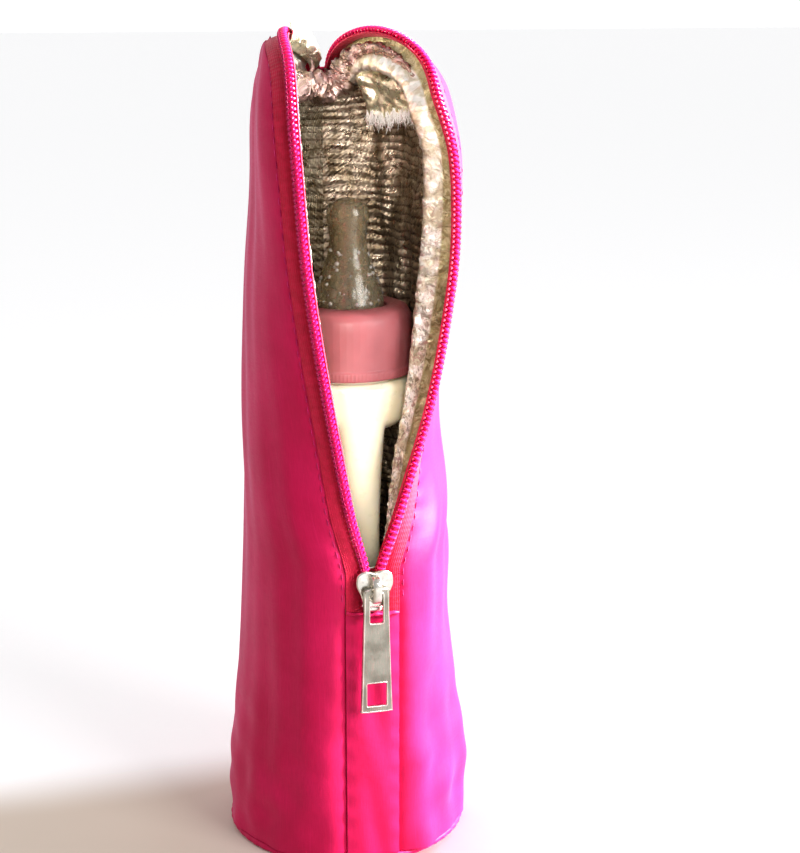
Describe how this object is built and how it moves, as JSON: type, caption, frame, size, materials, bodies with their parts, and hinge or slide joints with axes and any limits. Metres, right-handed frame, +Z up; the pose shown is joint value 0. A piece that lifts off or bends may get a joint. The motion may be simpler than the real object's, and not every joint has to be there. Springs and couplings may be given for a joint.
{
  "type": "insulated baby bottle bag with bottle",
  "caption": "Loop-grip baby bottle with screw collar and teat, standing in a soft foil-lined insulated bag whose zip runs up the front and over the top.",
  "frame": {"origin": "centre of the bag's flat base, on the surface that it stands on", "axes": "+Z up along the bag's height; -Y faces the zip and the slider; +X to the bag's right seen from the zip's side"},
  "size_m": [0.0756, 0.0811, 0.2512],
  "materials": {
    "satin": "hot pink satin weave with a soft sheen",
    "zip_tape": "deep crimson woven zip tape",
    "zip_coil": "bright pink nylon coil",
    "foil": "embossed champagne aluminium foil laminate, crinkled",
    "foam": "white closed-cell insulation foam",
    "board": "stiff base board",
    "zip_metal": "bright nickel plated die casting with brushed faces",
    "bottle": "cream smooth plastic, filled with milk",
    "collar": "salmon pink moulded plastic with a soft gloss",
    "teat": "translucent greyish tan silicone"
  },
  "bodies": {
    "bag": {"left_side_panel": "satin", "right_side_panel": "satin", "front_strip": "satin", "back_strip": "satin", "base_panel": "satin", "base_piping": "satin", "base_board": "board", "base_foam": "foam", "base_liner": "foil", "left_foam": "foam", "right_foam": "foam", "left_liner": "foil", "right_liner": "foil", "zip_bottom_stop": "zip_metal", "zip_top_stop": "zip_metal"},
    "left_flap": {"left_zip_tape": "zip_tape", "left_zip_coil": "zip_coil", "left_zip_facing": "foil"},
    "right_flap": {"right_zip_tape": "zip_tape", "right_zip_coil": "zip_coil", "right_zip_facing": "foil"},
    "zip_slider": {"slider_body": "zip_metal", "slider_bridge": "zip_metal"},
    "pull": {"pull_tab": "zip_metal"},
    "bottle": {"bottle_body": "bottle"},
    "teat": {"teat": "teat"},
    "collar": {"collar": "collar"}
  },
  "joints": [
    {"name": "slider_travel", "type": "slide", "parent": "bag", "child": "zip_slider", "axis": [0, 0, 1], "range_m": [0, 0.115]},
    {"name": "pull_swing", "type": "hinge", "parent": "zip_slider", "child": "pull", "pos_m": [0, -0.0405, 0.0904], "axis": [-1, 0, 0], "range_deg": [0, 165]},
    {"name": "left_flap_close", "type": "hinge", "parent": "bag", "child": "left_flap", "pos_m": [-0.004, 0.004, 0.15], "axis": [0, 0.2873, 0.9578], "range_deg": [0, 26], "deforming": ["left_zip_tape", "left_zip_coil", "left_zip_facing"]},
    {"name": "right_flap_close", "type": "hinge", "parent": "bag", "child": "right_flap", "pos_m": [0.001, -0.006, 0.15], "axis": [0, -0.2873, -0.9578], "range_deg": [0, 45], "deforming": ["right_zip_tape", "right_zip_coil", "right_zip_facing"]},
    {"name": "bottle_lift", "type": "slide", "parent": "bag", "child": "bottle", "axis": [0, 0, 1], "range_m": [0, 0.055]},
    {"name": "teat_lift", "type": "slide", "parent": "bottle", "child": "teat", "axis": [0, 0, 1], "range_m": [0, 0.0125]},
    {"name": "collar_turn", "type": "hinge", "parent": "teat", "child": "collar", "pos_m": [0.002, 0.001, 0.158], "axis": [0, 0, 1], "range_deg": [0, 1080]}
  ],
  "couplings": [
    {"joint": "left_flap_close", "follows": "slider_travel", "rad_per_m": 3.9456},
    {"joint": "right_flap_close", "follows": "slider_travel", "rad_per_m": 6.8289},
    {"joint": "teat_lift", "follows": "collar_turn", "m_per_rad": 0.00063662}
  ]
}
